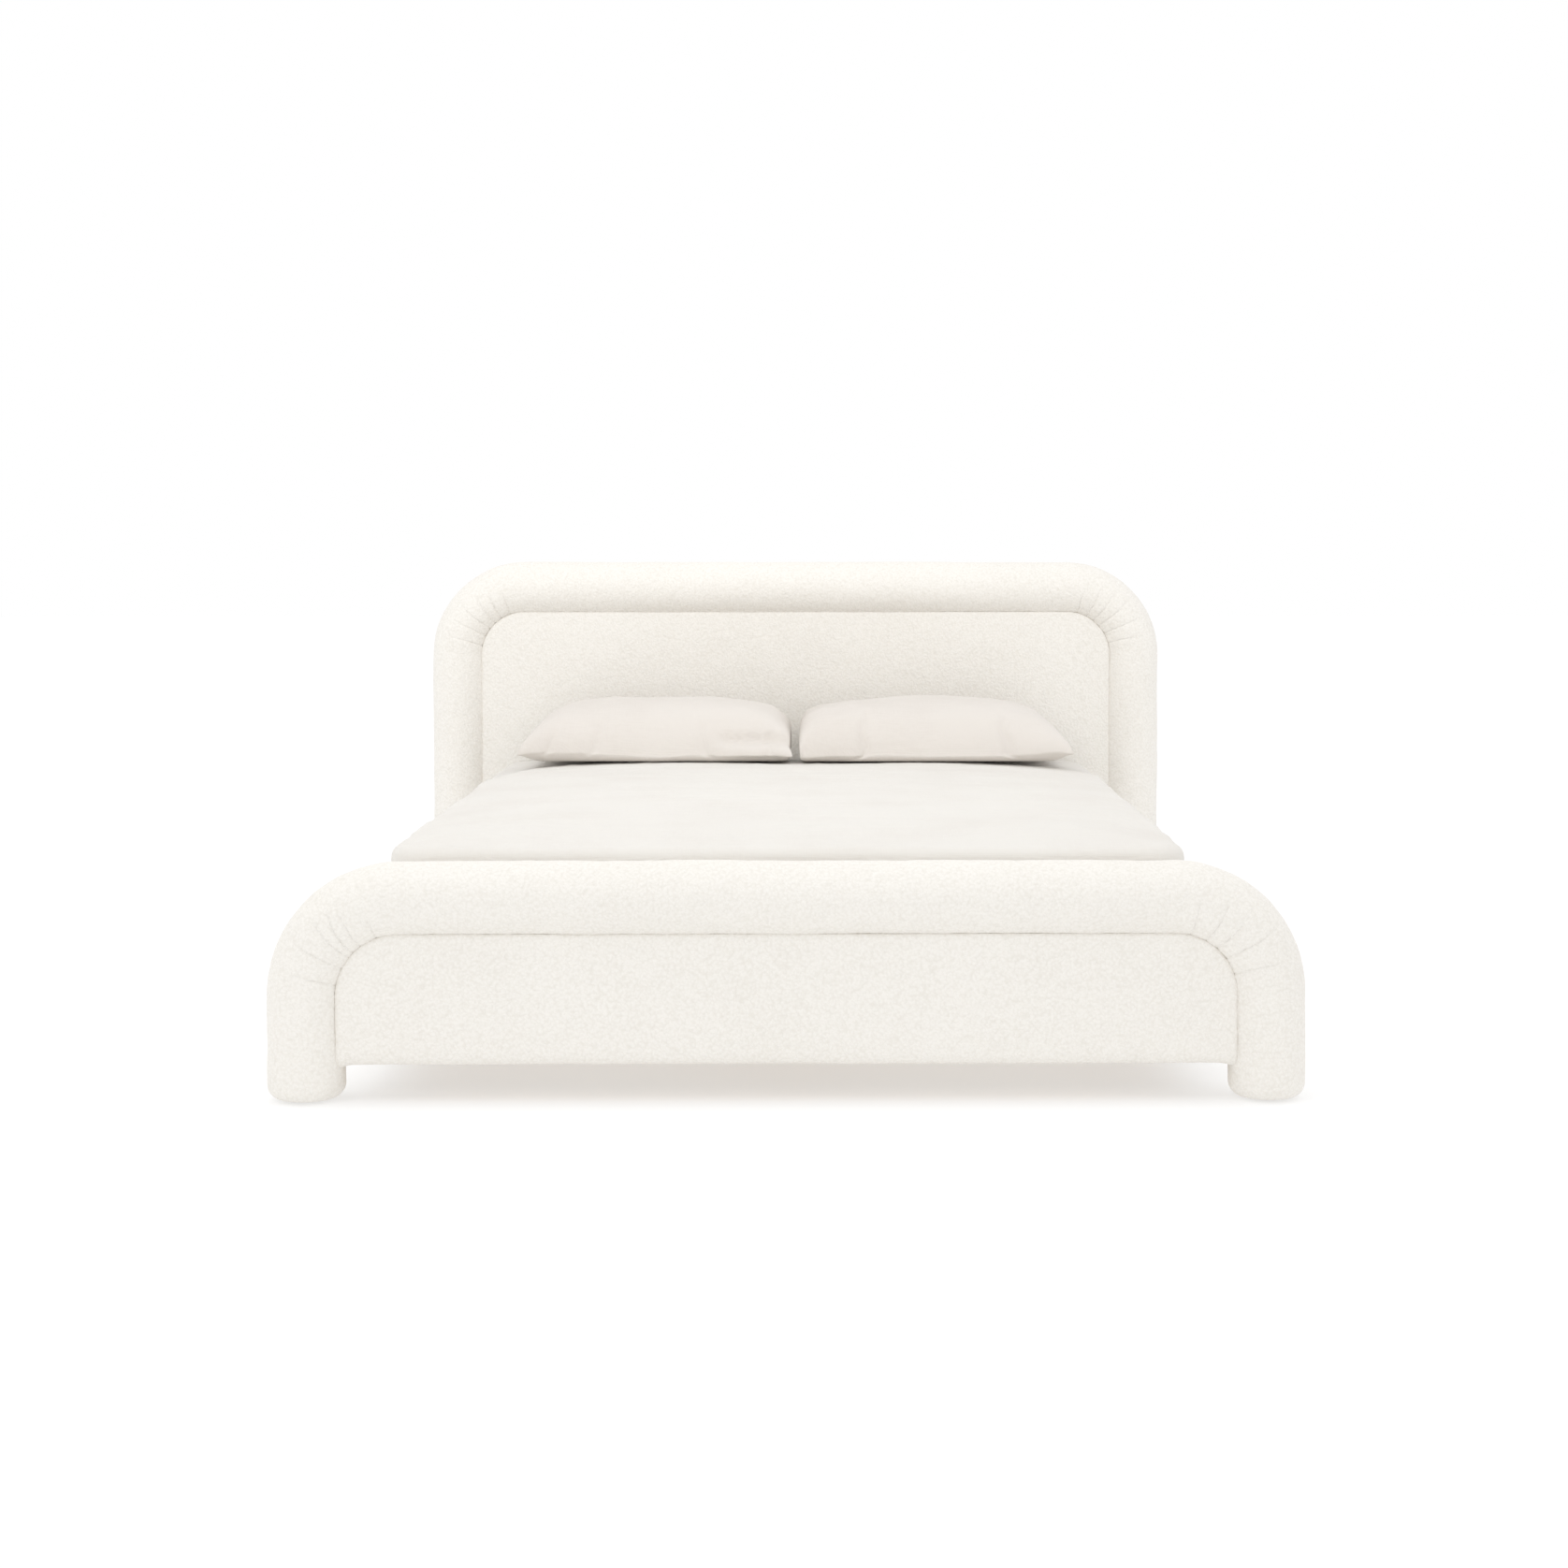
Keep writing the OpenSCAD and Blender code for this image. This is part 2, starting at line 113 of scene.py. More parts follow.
def grid_faces(nu, nv, wrap_v=False):
    """Quads of a grid whose vertex (i, j) is i * nv + j."""
    i = np.arange(nu - 1)
    j = np.arange(nv if wrap_v else nv - 1)
    i, j = [a.ravel() for a in np.meshgrid(i, j, indexing="ij")]
    i2, j2 = i + 1, (j + 1) % nv
    return np.stack([i * nv + j, i2 * nv + j, i2 * nv + j2, i * nv + j2], 1)


# ---------- materials ----------

def nodes_of(name):
    m = bpy.data.materials.new(name)
    m.use_nodes = True
    nt = m.node_tree
    return m, nt, nt.nodes["Principled BSDF"]


def node(nt, kind, inputs=None, **props):
    n = nt.nodes.new(kind)
    for k, v in props.items():
        setattr(n, k, v)
    for k, v in (inputs or {}).items():
        n.inputs[k].default_value = v
    return n


def ramp(nt, fac, stops):
    r = nt.nodes.new("ShaderNodeValToRGB")
    e = r.color_ramp.elements
    while len(e) < len(stops):
        e.new(0.5)
    for k, (pos, col) in enumerate(stops):
        e[k].position = pos
        e[k].color = (*col, 1)
    nt.links.new(fac, r.inputs["Fac"])
    return r.outputs["Color"]


def scaled(nt, coord, scale):
    m = node(nt, "ShaderNodeMapping")
    m.inputs["Scale"].default_value = scale
    nt.links.new(coord, m.inputs["Vector"])
    return m.outputs["Vector"]


def add(nt, a, b, factor):
    """a + factor * b"""
    n = node(nt, "ShaderNodeMath", operation="MULTIPLY_ADD")
    nt.links.new(b, n.inputs[0])
    n.inputs[1].default_value = factor
    nt.links.new(a, n.inputs[2])
    return n.outputs[0]


def boucle(name, light, dark):
    """Nubby looped wool: small irregular loops that catch the light, darker between them."""
    m, nt, b = nodes_of(name)
    co = node(nt, "ShaderNodeTexCoord").outputs["Object"]
    warp = node(nt, "ShaderNodeTexNoise", {"Scale": 90.0, "Detail": 2.0, "Roughness": 0.6})
    nt.links.new(co, warp.inputs["Vector"])
    mix = node(nt, "ShaderNodeVectorMath", operation="MULTIPLY_ADD")
    nt.links.new(warp.outputs["Color"], mix.inputs[0])
    mix.inputs[1].default_value = (0.008, 0.008, 0.008)
    nt.links.new(co, mix.inputs[2])
    loops = node(nt, "ShaderNodeTexVoronoi", {"Scale": 185.0, "Smoothness": 0.75, "Randomness": 1.0},
                 feature="SMOOTH_F1")
    nt.links.new(mix.outputs[0], loops.inputs["Vector"])
    fuzz = node(nt, "ShaderNodeTexNoise", {"Scale": 620.0, "Detail": 3.0, "Roughness": 0.7})
    nt.links.new(co, fuzz.inputs["Vector"])
    clump = node(nt, "ShaderNodeTexNoise", {"Scale": 46.0, "Detail": 3.0, "Roughness": 0.55})
    nt.links.new(co, clump.inputs["Vector"])
    broad = node(nt, "ShaderNodeTexNoise", {"Scale": 5.0, "Detail": 2.0})
    nt.links.new(co, broad.inputs["Vector"])
    height = add(nt, fuzz.outputs["Fac"], loops.outputs["Distance"], -1.9)
    height = add(nt, height, clump.outputs["Fac"], 1.1)
    tone = add(nt, fuzz.outputs["Fac"], loops.outputs["Distance"], -0.9)
    tone = add(nt, tone, clump.outputs["Fac"], 0.25)
    tone = add(nt, tone, broad.outputs["Fac"], 0.25)
    nt.links.new(ramp(nt, tone, [(0.0, dark), (0.55, light)]), b.inputs["Base Color"])
    bump = node(nt, "ShaderNodeBump", {"Strength": 0.36, "Distance": 0.0022})
    nt.links.new(height, bump.inputs["Height"])
    nt.links.new(bump.outputs["Normal"], b.inputs["Normal"])
    b.inputs["Roughness"].default_value = 0.97
    b.inputs["Specular IOR Level"].default_value = 0.12
    b.inputs["Sheen Weight"].default_value = 0.22
    b.inputs["Sheen Roughness"].default_value = 0.65
    b.inputs["Sheen Tint"].default_value = (1.0, 0.985, 0.96, 1)
    return m


def woven(name, light, dark, pitch=1.1 * MM, slub=0.5, crease=0.5, sheen=0.15):
    """Plain weave: warp and weft threads, uneven slubs along them, and fine creases."""
    m, nt, b = nodes_of(name)
    co = node(nt, "ShaderNodeTexCoord").outputs["Object"]
    k = 1 / pitch
    waves = []
    for axis in ("X", "Y"):
        w = node(nt, "ShaderNodeTexWave", {"Scale": k * 0.31, "Distortion": 1.2, "Detail": 1.0},
                 bands_direction=axis)
        nt.links.new(co, w.inputs["Vector"])
        waves.append(w.outputs["Fac"])
    weave = node(nt, "ShaderNodeMath", operation="MAXIMUM")
    nt.links.new(waves[0], weave.inputs[0])
    nt.links.new(waves[1], weave.inputs[1])
    slubs = []
    for sc in ((26.0, 420.0, 60.0), (420.0, 26.0, 60.0)):
        n = node(nt, "ShaderNodeTexNoise", {"Scale": 1.0, "Detail": 2.0, "Roughness": 0.6})
        nt.links.new(scaled(nt, co, sc), n.inputs["Vector"])
        slubs.append(n.outputs["Fac"])
    fine = node(nt, "ShaderNodeTexNoise", {"Scale": 1.0, "Detail": 4.0, "Roughness": 0.62, "Distortion": 0.6})
    nt.links.new(scaled(nt, co, (14.0, 34.0, 30.0)), fine.inputs["Vector"])
    broad = node(nt, "ShaderNodeTexNoise", {"Scale": 4.0, "Detail": 2.0})
    nt.links.new(co, broad.inputs["Vector"])
    height = add(nt, weave.outputs[0], slubs[0], slub)
    height = add(nt, height, slubs[1], slub)
    height = add(nt, height, fine.outputs["Fac"], 9.0 * crease)
    tone = add(nt, broad.outputs["Fac"], slubs[0], 0.5)
    tone = add(nt, tone, slubs[1], 0.4)
    nt.links.new(ramp(nt, tone, [(0.55, dark), (1.15, light)]), b.inputs["Base Color"])
    bump = node(nt, "ShaderNodeBump", {"Strength": 0.5, "Distance": 0.0006})
    nt.links.new(height, bump.inputs["Height"])
    nt.links.new(bump.outputs["Normal"], b.inputs["Normal"])
    b.inputs["Roughness"].default_value = 0.9
    b.inputs["Specular IOR Level"].default_value = 0.2
    b.inputs["Sheen Weight"].default_value = sheen
    b.inputs["Sheen Roughness"].default_value = 0.5
    return m


def wood(name, light, dark, along, rough=0.6, fine=1.0):
    """Planed timber with grain along one axis: long wavy rings, pores and a few darker streaks."""
    m, nt, b = nodes_of(name)
    co = node(nt, "ShaderNodeTexCoord").outputs["Object"]
    stretch = [26.0 * fine] * 3
    stretch[along] = 1.6 * fine
    grain = node(nt, "ShaderNodeTexNoise", {"Scale": 1.0, "Detail": 5.0, "Roughness": 0.6, "Distortion": 1.4})
    nt.links.new(scaled(nt, co, stretch), grain.inputs["Vector"])
    pore = [520.0] * 3
    pore[along] = 22.0
    pores = node(nt, "ShaderNodeTexNoise", {"Scale": 1.0, "Detail": 2.0, "Roughness": 0.7})
    nt.links.new(scaled(nt, co, pore), pores.inputs["Vector"])
    tone = add(nt, grain.outputs["Fac"], pores.outputs["Fac"], 0.22)
    mid = tuple((a + c) / 2 for a, c in zip(light, dark))
    nt.links.new(ramp(nt, tone, [(0.42, dark), (0.56, mid), (0.74, light)]), b.inputs["Base Color"])
    height = add(nt, pores.outputs["Fac"], grain.outputs["Fac"], 0.6)
    bump = node(nt, "ShaderNodeBump", {"Strength": 0.35, "Distance": 0.0004})
    nt.links.new(height, bump.inputs["Height"])
    nt.links.new(bump.outputs["Normal"], b.inputs["Normal"])
    b.inputs["Roughness"].default_value = rough
    return m


def metal(name, colour, metallic, rough, speckle):
    m, nt, b = nodes_of(name)
    co = node(nt, "ShaderNodeTexCoord").outputs["Object"]
    grit = node(nt, "ShaderNodeTexNoise", {"Scale": speckle, "Detail": 3.0, "Roughness": 0.6})
    nt.links.new(co, grit.inputs["Vector"])
    wear = node(nt, "ShaderNodeTexNoise", {"Scale": 30.0, "Detail": 3.0})
    nt.links.new(co, wear.inputs["Vector"])
    nt.links.new(ramp(nt, wear.outputs["Fac"], [(0.35, tuple(c * 0.82 for c in colour)), (0.65, colour)]),
                 b.inputs["Base Color"])
    r = node(nt, "ShaderNodeMapRange", {"To Min": rough - 0.08, "To Max": rough + 0.1})
    nt.links.new(grit.outputs["Fac"], r.inputs["Value"])
    nt.links.new(r.outputs["Result"], b.inputs["Roughness"])
    bump = node(nt, "ShaderNodeBump", {"Strength": 0.2, "Distance": 0.0002})
    nt.links.new(grit.outputs["Fac"], bump.inputs["Height"])
    nt.links.new(bump.outputs["Normal"], b.inputs["Normal"])
    b.inputs["Metallic"].default_value = metallic
    return m


BOUCLE = boucle("boucle", (0.890, 0.865, 0.820), (0.815, 0.785, 0.730))
# a darker copy of the bouclé: painted shade for the grooves along the pads' seams
SEAM_SHADE = boucle("boucle_painted_seam_shade", (0.60, 0.565, 0.50), (0.52, 0.485, 0.42))
COVERLET = woven("coverlet_linen", (0.825, 0.80, 0.757), (0.785, 0.75, 0.703))
SHEET = woven("sheet_percale", (0.825, 0.80, 0.76), (0.785, 0.755, 0.71),
              pitch=0.7 * MM, slub=0.2, crease=0.35)
CASE = woven("pillow_linen", (0.785, 0.742, 0.695), (0.735, 0.686, 0.635))
TICKING = woven("ticking", (0.90, 0.89, 0.87), (0.84, 0.83, 0.81), pitch=1.6 * MM, slub=0.3, crease=0.2)
PINE_TONES = ((0.74, 0.55, 0.34), (0.60, 0.40, 0.21))
PINE_X = wood("pine_x", *PINE_TONES, 0)
PINE_Y = wood("pine_y", *PINE_TONES, 1)
PINE_Z = wood("pine_z", *PINE_TONES, 2)
PLY = wood("plywood", (0.76, 0.60, 0.41), (0.64, 0.47, 0.29), 2, fine=0.7)
BIRCH = wood("slat_birch", (0.80, 0.66, 0.47), (0.70, 0.54, 0.35), 0, rough=0.42, fine=1.3)
BLACK = metal("black_steel", (0.025, 0.025, 0.027), 0.0, 0.5, 900.0)
ZINC = metal("zinc_steel", (0.60, 0.60, 0.62), 1.0, 0.38, 400.0)
NYLON = metal("nylon", (0.045, 0.045, 0.047), 0.0, 0.62, 700.0)


# ---------- padded boards ----------

# Pleats gathered at the inside of the roll's corners: (angle at the seam, angle at the end, radius at the
# end). Angles are in degrees from the leg's side towards the top, radii in metres from the corner's centre.
PLEATS = {
    "foot_left": [(10.7, 14.4, 0.204), (27, 29.9, 0.228), (39, 43.7, 0.213), (45, 52, 0.213),
                  (54.4, 56.5, 0.187), (70.8, 70.2, 0.165)],
    "foot_right": [(20, 19.1, 0.206), (35.7, 34.5, 0.224), (48.3, 48.9, 0.209), (61.2, 60.4, 0.197),
                   (77, 75.9, 0.19)],
    "head_left": [(13, 15, 0.20), (26, 28, 0.222), (37, 39, 0.226), (47, 51, 0.214), (58, 60, 0.205),
                  (71, 71, 0.178)],
    "head_right": [(16, 15, 0.204), (29, 28, 0.219), (41, 42, 0.228), (52, 52, 0.216), (63, 62, 0.201),
                   (76, 75, 0.182)],
    "back": [(12, 14, 0.20), (25, 26, 0.215), (38, 40, 0.222), (50, 50, 0.218), (62, 61, 0.204),
             (75, 74, 0.186)],
}
SEAM_R = 0.118


def pleat_depth(theta, r, pleats):
    """How far the cloth is drawn in at angle theta (degrees) and radius r from the corner's centre."""
    out = np.zeros_like(r)
    for k, (a0, a1, r1) in enumerate(pleats):
        f = (r - SEAM_R) / (r1 - SEAM_R)
        a = a0 + (a1 - a0) * np.clip(f, 0, 1) + 0.5 * np.sin(f * 5 + k)
        u = np.radians(theta - a) * r
        fade = np.clip(1.12 - f, 0, 1) ** 0.5 * (f > -1.2) * (0.55 + 0.45 * smooth(0.02, 0.3, f))
        out += fade * (2.5 * MM * np.exp(-(u / (1.4 * MM)) ** 2) + 1.0 * MM * np.exp(-(u / (6 * MM)) ** 2))
    return out


def make_roll(name, h, y_axis, left, right, nodes, seed):
    around = 112
    straight = 7 * MM
    z0, edge = 4 * MM, 28 * MM
    ax, az = LEG_X + ROLL_R - CORNER_R, h - CORNER_R
    rings = []  # (x, z, outward x, outward z, radius, theta, side)
    for t in np.linspace(0, math.pi / 2, 12):
        foot_r = ROLL_R - edge + edge * math.sin(t)
        rings.append((-LEG_X, z0 + edge * (1 - math.cos(t)), -1, 0, foot_r, -1, 0))
    n = int((az - z0 - edge) / straight)
    for z in np.linspace(z0 + edge, az, n, endpoint=False)[1:]:
        rings.append((-LEG_X, z, -1, 0, ROLL_R, -1, 0))
    for t in np.linspace(0, math.pi / 2, 150):
        nx, nz = -math.cos(t), math.sin(t)
        rings.append((-ax + nx * ARC_R, az + nz * ARC_R, nx, nz, ROLL_R, math.degrees(t), -1))
    for x in np.linspace(-ax, 0, int(ax / straight), endpoint=False)[1:]:
        rings.append((x, az + ARC_R, 0, 1, ROLL_R, -1, 0))
    for x, z, nx, nz, r, th, side in reversed(list(rings)):
        rings.append((-x, z, -nx, nz, r, th, -side))
    R = np.array(rings)
    phi = np.linspace(0, 2 * math.pi, around, endpoint=False)
    c, s = np.cos(phi)[None, :], np.sin(phi)[None, :]
    X, Z, NX, NZ, RR, TH, SD = [R[:, k][:, None] for k in range(7)]
    radial = ARC_R + ROLL_R * c + 0 * X
    front = s > 0
    dent = np.zeros_like(radial)
    for side, key in ((-1, left), (1, right)):
        on = np.broadcast_to(SD == side, radial.shape)
        th = np.broadcast_to(TH, radial.shape)
        dent += np.where(on & front, pleat_depth(th, radial, PLEATS[key]), 0)
        dent += np.where(on & ~front, pleat_depth(th, radial, PLEATS["back"]), 0)
    P = np.stack([X + NX * RR * c, y_axis - RR * s + 0 * X, Z + NZ * RR * c], -1)
    flat = P.reshape(-1, 3)
    swell = 1.6 * MM * noise(flat, 0.16, seed, 2) + 0.7 * MM * noise(flat, 0.035, seed + 5, 2)
    swell += 0.5 * MM * noise(flat, 0.011, seed + 9, 2)
    move = swell.reshape(radial.shape) - 0.8 * MM - dent
    low = smooth(z0, z0 + 0.02, P[..., 2])
    P[..., 0] += NX * c * move * low
    P[..., 1] -= s * move * low
    P[..., 2] += NZ * c * move * low
    verts = P.reshape(-1, 3)
    faces = [tuple(f) for f in grid_faces(len(R), around, wrap_v=True)]
    faces.append(tuple(range(around)))
    faces.append(tuple(reversed(range((len(R) - 1) * around, len(R) * around))))
    ob = add_mesh(name, verts, faces, BOUCLE)
    fix_normals(ob)
    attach(ob, "frame")
    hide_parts(*nodes)


def fix_normals(ob):
    bm = bmesh.new()
    bm.from_mesh(ob.data)
    bmesh.ops.remove_doubles(bm, verts=bm.verts, dist=0.00002)
    bmesh.ops.recalc_face_normals(bm, faces=bm.faces)
    bm.to_mesh(ob.data)
    bm.free()
    ob.data.shade_smooth()


def make_pad(name, h, y_axis, front, nodes, puff, seed,
             face=43 * MM, back=12 * MM, edge=22 * MM, lap=9 * MM):
    """Padded panel inside a roll. front is 1 for the side towards the foot and -1 for the back."""
    w = LEG_X + ROLL_R - CORNER_R + SEAM_R        # half width at the seam
    top = h - CORNER_R + SEAM_R
    quarter = edge * math.pi / 2
    t_low = -(face - edge - back)                 # underside, measured along the cloth from the round edge
    t_top = quarter + (top - PAD_BOTTOM - edge)
    b0 = (t_top - t_low) / 2
    tc = (t_top + t_low) / 2
    n_x, n_s, n_c = 190, 60, 46
    ds = [-16, -11, -7, -4, -2, -0.5, 0.5, 1.5, 2.5, 3.5, 5, 6.5, 8, 10, 12.5,
          15.5, 19, 23, 28, 34, 41, 49, 58]
    ds = [d * MM for d in ds]
    while ds[-1] < b0 - 14 * MM:
        ds.append(min(ds[-1] + 13 * MM, b0 - 4 * MM))
    loops = []
    for d in ds:
        a, b = w - d, b0 - d
        low = -b0 + max(d, 0)                     # the underside's edge stays where it is
        r = SEAM_R - d if d <= 0 else SEAM_R * (1 - d / b0)
        r = min(r, b0)
        pts = [(x, low) for x in np.linspace(-a, a, n_x)]
        pts += [(a, t) for t in np.linspace(low, b - r, n_s + 1)[1:]]
        pts += [(a - r + r * math.cos(q), b - r + r * math.sin(q))
                for q in np.linspace(0, math.pi / 2, n_c)[1:]]
        pts += [(x, b) for x in np.linspace(a - r, -a + r, n_x)[1:]]
        pts += [(-a + r + r * math.cos(q), b - r + r * math.sin(q))
                for q in np.linspace(math.pi / 2, math.pi, n_c)[1:]]
        pts += [(-a, t) for t in np.linspace(b - r, low, n_s + 1)[1:-1]]
        loops.append(pts)
    A = np.array(loops)
    x, t = A[..., 0], A[..., 1] + tc
    turn = np.clip(t / edge, 0, math.pi / 2)
    z = PAD_BOTTOM + edge * (1 - np.cos(turn)) + np.maximum(t - quarter, 0)
    out = face - edge * (1 - np.sin(turn)) + np.minimum(t, 0)
    # distance to the seam
    ax = np.abs(x)
    corner = (ax > w - SEAM_R) & (z > top - SEAM_R)
    d = np.where(corner, SEAM_R - np.hypot(ax - w + SEAM_R, z - top + SEAM_R), np.minimum(w - ax, top - z))
    rise = np.where(d < lap, -lap + np.sqrt(np.maximum(lap ** 2 - (lap - np.clip(d, 0, lap)) ** 2, 0)), 0)
    rise = rise + 3.0 * np.minimum(d, 0)
    rise = rise + puff * (1 - np.exp(-np.maximum(d, 0) / 0.055)) * smooth(0, 0.06, t)
    p3 = np.stack([x, np.full_like(out, y_axis), z], -1).reshape(-1, 3)
    rough = 1.3 * MM * noise(p3, 0.20, seed, 2) + 0.6 * MM * noise(p3, 0.04, seed + 3, 2)
    rough += 0.4 * MM * noise(p3, 0.012, seed + 7, 2)
    pucker = 1.1 * MM * noise(p3, 0.02, seed + 11, 1)
    rise = rise + rough.reshape(x.shape) + pucker.reshape(x.shape) * np.exp(-np.abs(d) / 0.016)
    ny = np.sin(turn)
    nz = -np.cos(turn)
    # the cloth is drawn down where the lower edge meets the leg
    sag = 7 * MM * np.exp(-(np.maximum(w - ax, 0) / 0.02) ** 2) * np.exp(-np.maximum(t, 0) / 0.03)
    y = y_axis - front * (out + rise * ny)
    z = z + rise * nz - sag
    verts = np.stack([x, y, z], -1).reshape(-1, 3)
    nl = A.shape[1]
    faces = [tuple(f) for f in grid_faces(len(loops), nl, wrap_v=True)]
    last, t0 = (len(loops) - 1) * nl, n_x + n_s + n_c - 2
    for i in range(n_x - 1):
        j = t0 + n_x - 1 - i
        faces.append((last + i, last + i + 1, last + j - 1, last + j))
    faces.append(tuple(last + k for k in range(n_x - 1, t0 + 1)))
    faces.append(tuple(last + k for k in range(t0 + n_x - 1, nl)) + (last,))
    ob = add_mesh(name, verts, faces, BOUCLE)
    # the loops that lie in the seam's groove get the darker bouclé: painted shade standing in for the groove's
    # shadow
    ob.data.materials.append(SEAM_SHADE)
    shaded_loops = [k for k in range(len(ds) - 1) if -5 * MM < ds[k] < 1 * MM]
    for k in shaded_loops:
        for q in ob.data.polygons[k * nl:(k + 1) * nl]:
            q.material_index = 1
    fix_normals(ob)
    if sum((p.normal.y * p.area for p in ob.data.polygons)) * front > 0:
        ob.data.flip_normals()
    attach(ob, "frame")
    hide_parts(*nodes)


make_roll("headboard_roll_cloth", HEAD_H, HEAD_Y, "head_left", "head_right", ["headboard_roll"], 11)
make_roll("footboard_roll_cloth", FOOT_H, FOOT_Y, "foot_left", "foot_right", ["footboard_roll"], 23)
make_pad("headboard_pad_cloth", HEAD_H, HEAD_Y, 1, ["headboard_pad"], 6 * MM, 31)
make_pad("footboard_pad_cloth", FOOT_H, FOOT_Y, 1, ["footboard_pad"], 5 * MM, 41)
make_pad("headboard_back_cloth", HEAD_H, HEAD_Y, -1, ["headboard_back_cover"], 2 * MM, 51,
         face=38 * MM, back=32 * MM, edge=5 * MM, lap=5 * MM)
make_pad("footboard_back_cloth", FOOT_H, FOOT_Y, -1, ["footboard_back_cover"], 2 * MM, 61,
         face=38 * MM, back=32 * MM, edge=5 * MM, lap=5 * MM)


# ---------- mattress and bedding ----------

MAT_W = (MAT_HI.x - MAT_LO.x) / 2
MAT_L = (MAT_HI.y - MAT_LO.y) / 2
MAT_R = 0.070
SIDE_TOP = MAT_HI.z - 0.055                     # where the side ends and the rounding starts
DECK = MAT_LO.z
SHEET_OUT = 1.2 * MM                            # how far each cloth stands off the mattress
COVERLET_OUT = 3.6 * MM
SHEET_UNDER = 0.045                             # how far the fitted sheet turns in below


def crown(d):
    """Height of the bed's top above its side, at distance d in from the outline."""
    t = np.clip(d / 0.024, 0, 1)
    edge = 0.027 * np.sqrt(np.maximum(1 - (1 - t) ** 2, 0))
    return edge + 0.027 * (1 - np.exp(-np.maximum(d - 0.02, 0) / 0.16))


def edge_steps(half, step):
    """Samples from -half to half, finer towards both ends."""
    near = np.array([0, 1.5, 4, 8, 13, 19, 26, 34, 43]) * MM
    inner = half - near[-1]
    mid = np.linspace(-inner, inner, int(2 * inner / step) + 1)
    return np.concatenate([-half + near[:-1], mid, (half - near[:-1])[::-1]])


def round_corners(x, y, a, b, r):
    """Moves points of a rectangular grid so that its outline, and the rings inside it, have round corners."""
    ax, ay = np.abs(x), np.abs(y)
    d = np.minimum(a - ax, b - ay)
    rr = np.maximum(r * (1 - d / 0.25), 1e-6)
    qx, qy = ax - (a - d - rr), ay - (b - d - rr)
    inside = (qx > 0) & (qy > 0)
    big = np.maximum(np.maximum(qx, qy), 1e-9)
    ang = np.where(qx >= qy, math.pi / 4 * qy / big, math.pi / 2 - math.pi / 4 * qx / big)
    nx = a - d - rr + rr * np.cos(ang)
    ny = b - d - rr + rr * np.sin(ang)
    return np.sign(x) * np.where(inside, nx, ax), np.sign(y) * np.where(inside, ny, ay)


def inset(x, y, a, b, r):
    """Distance in from the rounded outline."""
    qx, qy = np.abs(x) - (a - r), np.abs(y) - (b - r)
    return np.where((qx > 0) & (qy > 0), r - np.hypot(qx, qy), np.minimum(a - np.abs(x), b - np.abs(y)))


def bed_skin(g, z_low, under=0.0, step=0.010, tuck=0.010):
    """The mattress's outside, g larger: (vertices, normals, faces, distance down from the top edge).
    It runs down to z_low, and in under the mattress by under."""
    a, b, r = MAT_W + g, MAT_L + g, MAT_R + g
    xs, ys = edge_steps(a, step), edge_steps(b, step)
    X, Y = np.meshgrid(xs, ys, indexing="ij")
    X, Y = round_corners(X, Y, a, b, r)
    Z = SIDE_TOP + g + crown(inset(X, Y, a, b, r))
    nx, ny = len(xs), len(ys)
    top = np.stack([X, Y, Z], -1).reshape(-1, 3)
    faces = [grid_faces(nx, ny)]
    idx = lambda i, j: i * ny + j
    loop = [idx(i, 0) for i in range(nx)] + [idx(nx - 1, j) for j in range(1, ny)]
    loop += [idx(i, ny - 1) for i in range(nx - 2, -1, -1)] + [idx(0, j) for j in range(ny - 2, 0, -1)]
    loop = np.array(loop)
    rim = top[loop]
    out = np.roll(rim, -1, 0) - np.roll(rim, 1, 0)
    out = np.stack([out[:, 1], -out[:, 0], 0 * out[:, 0]], 1)
    out /= np.linalg.norm(out, axis=1)[:, None]
    turn = tuck if under else 0.0
    levels = list(np.linspace(SIDE_TOP + g, z_low + turn, int((SIDE_TOP - z_low) / 0.009) + 2)[1:])
    path = [(0.0, z) for z in levels]
    if under:
        path += [(turn * (1 - math.cos(q)), z_low + turn * (1 - math.sin(q)))
                 for q in np.linspace(0, math.pi / 2, 6)[1:]]
        path += [(k, z_low) for k in np.linspace(turn, under, int(under / 0.01))[1:]]
    verts = [top]
    drop = [np.zeros(len(top))]
    start, prev, run, last = len(top), loop, 0.0, (0.0, SIDE_TOP + g)
    for inn, z in path:
        ring = rim - out * inn
        ring[:, 2] = z
        edge = np.array([a - inn, b - inn])       # past the corner's radius the rings would cross
        ring[:, :2] = np.clip(ring[:, :2], -edge, edge)
        run += math.hypot(inn - last[0], z - last[1])
        last = (inn, z)
        verts.append(ring)
        drop.append(np.full(len(ring), run))
        now = np.arange(start, start + len(ring))
        faces.append(np.stack([prev, np.roll(prev, -1), np.roll(now, -1), now], 1)[:, ::-1])
        prev, start = now, start + len(ring)
    V, F, D = np.concatenate(verts), np.concatenate(faces), np.concatenate(drop)
    # outward direction at each vertex
    n = np.zeros_like(V)
    quad = V[F]
    fn = np.cross(quad[:, 2] - quad[:, 0], quad[:, 3] - quad[:, 1])
    if fn[0][2] < 0:
        F = F[:, ::-1]
        fn = -fn
    for k in range(4):
        np.add.at(n, F[:, k], fn)
    n /= np.maximum(np.linalg.norm(n, axis=1), 1e-12)[:, None]
    return V, n, F, D


def ridges(p, size, seed, sharp=5):
    """Thin long creases: 1 on the crease, falling to 0 beside it."""
    return np.maximum(1 - np.abs(noise(p, size, seed, 2)) * 2.2, 0) ** sharp


